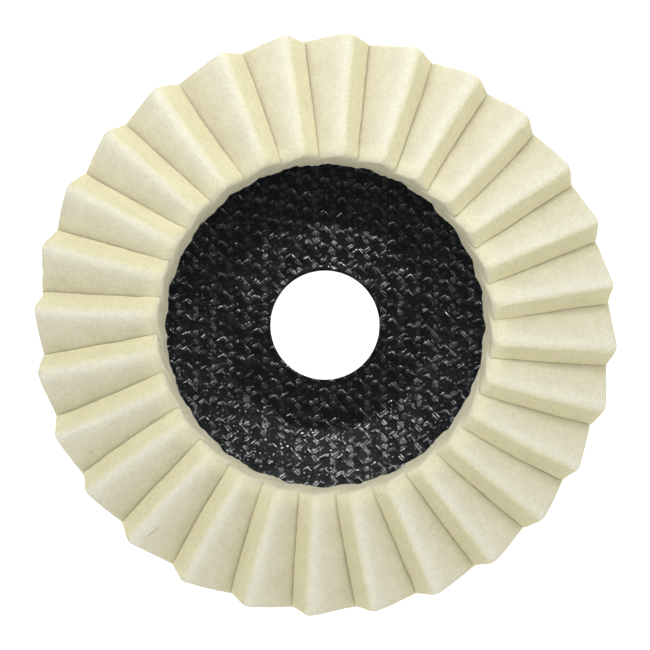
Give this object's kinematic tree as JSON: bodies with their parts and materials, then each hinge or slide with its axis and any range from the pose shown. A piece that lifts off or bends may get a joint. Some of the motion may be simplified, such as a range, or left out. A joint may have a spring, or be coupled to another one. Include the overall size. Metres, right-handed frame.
{
  "type": "felt flap polishing disc",
  "caption": "Felt flap polishing disc: a fan of overlapping slanted felt slabs bonded to a dished black glass-fibre backing plate with a plain arbor hole.",
  "frame": {"origin": "centre of the bore on the rear face of the arbor ring's flange, the face that seats on the grinder", "axes": "+Z along the bore axis, out of the felt working face; +Y passes just beside the ridge of felt_flap_01, +X is to the right when the working face is looked at with +Y up"},
  "size_m": [0.1157, 0.1157, 0.0208],
  "materials": {
    "felt": "pressed wool felt, cream",
    "adhesive": "cured epoxy bead",
    "front_cloth": "black resin over woven glass yarn",
    "glass_ply": "phenolic resin and glass mesh",
    "rear_cloth": "black resin over fine woven cloth",
    "plated_steel": "zinc plated pressed sheet"
  },
  "bodies": {
    "root": {"felt_flap_01": "felt", "felt_flap_02": "felt", "felt_flap_03": "felt", "felt_flap_04": "felt", "felt_flap_05": "felt", "felt_flap_06": "felt", "felt_flap_07": "felt", "felt_flap_08": "felt", "felt_flap_09": "felt", "felt_flap_10": "felt", "felt_flap_11": "felt", "felt_flap_12": "felt", "felt_flap_13": "felt", "felt_flap_14": "felt", "felt_flap_15": "felt", "felt_flap_16": "felt", "felt_flap_17": "felt", "felt_flap_18": "felt", "felt_flap_19": "felt", "felt_flap_20": "felt", "felt_flap_21": "felt", "felt_flap_22": "felt", "felt_flap_23": "felt", "felt_flap_24": "felt", "felt_flap_25": "felt", "felt_flap_26": "felt", "felt_flap_27": "felt", "felt_flap_28": "felt", "adhesive_ring": "adhesive", "front_cloth": "front_cloth", "glass_ply_1": "glass_ply", "glass_ply_2": "glass_ply", "glass_ply_3": "glass_ply", "rear_cloth": "rear_cloth", "arbor_ring": "plated_steel"}
  },
  "joints": []
}
